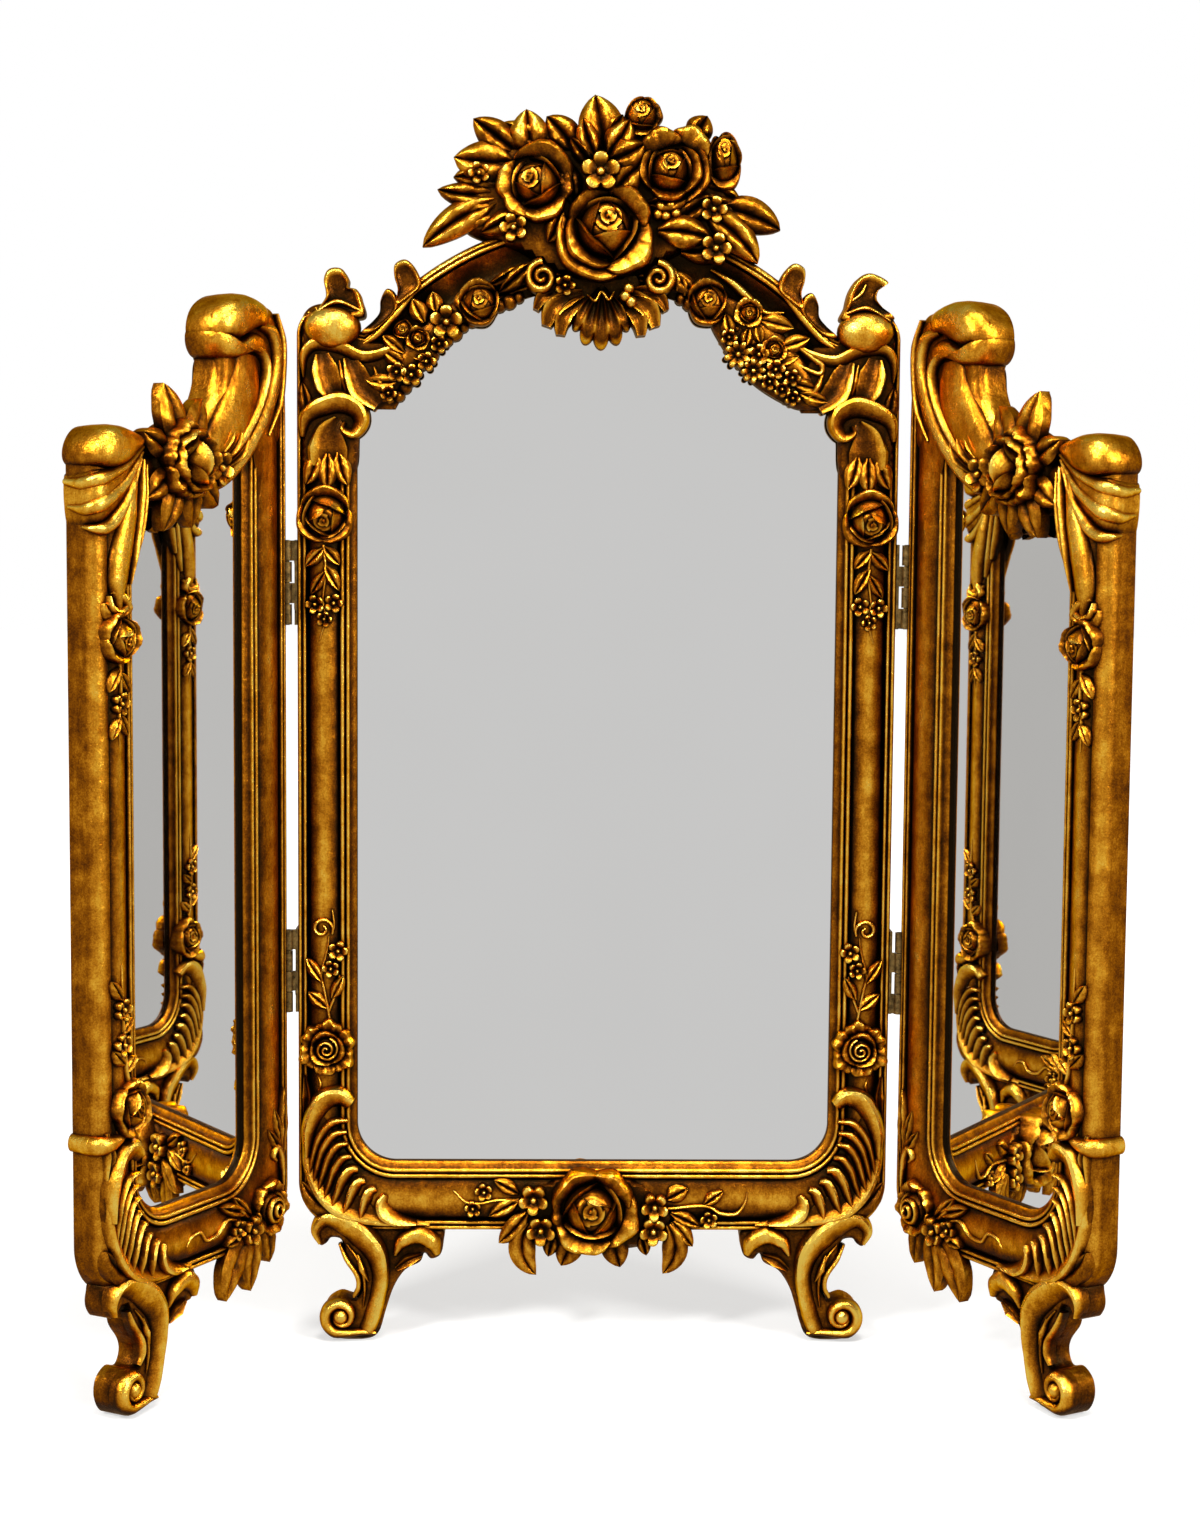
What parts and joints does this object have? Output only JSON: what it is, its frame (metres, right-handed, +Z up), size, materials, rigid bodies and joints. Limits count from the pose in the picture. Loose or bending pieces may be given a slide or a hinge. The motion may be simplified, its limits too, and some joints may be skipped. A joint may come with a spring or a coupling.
{
  "type": "dressing table mirror",
  "caption": "Free-standing gilded folding mirror in rococo style: an arched centre panel with a flowered crest, and hinged side wings, on scrolled feet.",
  "frame": {"origin": "on the floor under the middle of the part's box, with the wings at the pictured angle", "axes": "+Z up, +X to the viewer's right, +Y away from the viewer; the glass of the centre faces -Y"},
  "size_m": [0.2908, 0.0928, 0.3759],
  "materials": {
    "gilt": "cast resin with antique gold leaf, rubbed bright on the high points and dark in the hollows",
    "mirror_glass": "silvered plate glass",
    "backing_board": "dark stained hardboard",
    "hinge_brass": "aged brass",
    "steel": "plain steel"
  },
  "bodies": {
    "centre": {"arch_garlands": "gilt", "centre_apron_spray": "gilt", "centre_back_board": "backing_board", "centre_back_clips": "steel", "centre_clip_screws": "steel", "centre_corner_leaves": "gilt", "centre_crest": "gilt", "centre_foot_dowels": "steel", "centre_frame": "gilt", "centre_glass": "mirror_glass", "centre_hinge_screws": "steel", "centre_left_foot": "gilt", "centre_right_foot": "gilt", "centre_stile_roses": "gilt", "left_lower_hinge_centre_leaf": "hinge_brass", "left_lower_hinge_pin": "hinge_brass", "left_upper_hinge_centre_leaf": "hinge_brass", "left_upper_hinge_pin": "hinge_brass", "right_lower_hinge_centre_leaf": "hinge_brass", "right_lower_hinge_pin": "hinge_brass", "right_upper_hinge_centre_leaf": "hinge_brass", "right_upper_hinge_pin": "hinge_brass", "shoulder_finials": "gilt", "shoulder_scrolls": "gilt"},
    "left_wing": {"left_lower_hinge_wing_leaf": "hinge_brass", "left_upper_hinge_wing_leaf": "hinge_brass", "left_wing_back_board": "backing_board", "left_wing_back_clips": "steel", "left_wing_clip_screws": "steel", "left_wing_corner_block": "gilt", "left_wing_corner_leaf": "gilt", "left_wing_foot": "gilt", "left_wing_foot_dowel": "steel", "left_wing_frame": "gilt", "left_wing_glass": "mirror_glass", "left_wing_hinge_screws": "steel", "left_wing_low_rose": "gilt", "left_wing_stile_roses": "gilt", "left_wing_top_rose": "gilt", "left_wing_top_scroll": "gilt"},
    "right_wing": {"right_lower_hinge_wing_leaf": "hinge_brass", "right_upper_hinge_wing_leaf": "hinge_brass", "right_wing_back_board": "backing_board", "right_wing_back_clips": "steel", "right_wing_clip_screws": "steel", "right_wing_corner_block": "gilt", "right_wing_corner_leaf": "gilt", "right_wing_foot": "gilt", "right_wing_foot_dowel": "steel", "right_wing_frame": "gilt", "right_wing_glass": "mirror_glass", "right_wing_hinge_screws": "steel", "right_wing_low_rose": "gilt", "right_wing_stile_roses": "gilt", "right_wing_top_rose": "gilt", "right_wing_top_scroll": "gilt"}
  },
  "joints": [
    {"name": "left_wing_swing", "type": "hinge", "parent": "centre", "child": "left_wing", "pos_m": [-0.0928, 0.03322, 0.17395], "axis": [0, 0, 1], "range_deg": [-61.5, 63.5]},
    {"name": "right_wing_swing", "type": "hinge", "parent": "centre", "child": "right_wing", "pos_m": [0.0928, 0.03322, 0.17395], "axis": [0, 0, -1], "range_deg": [-61.5, 63.5]}
  ]
}
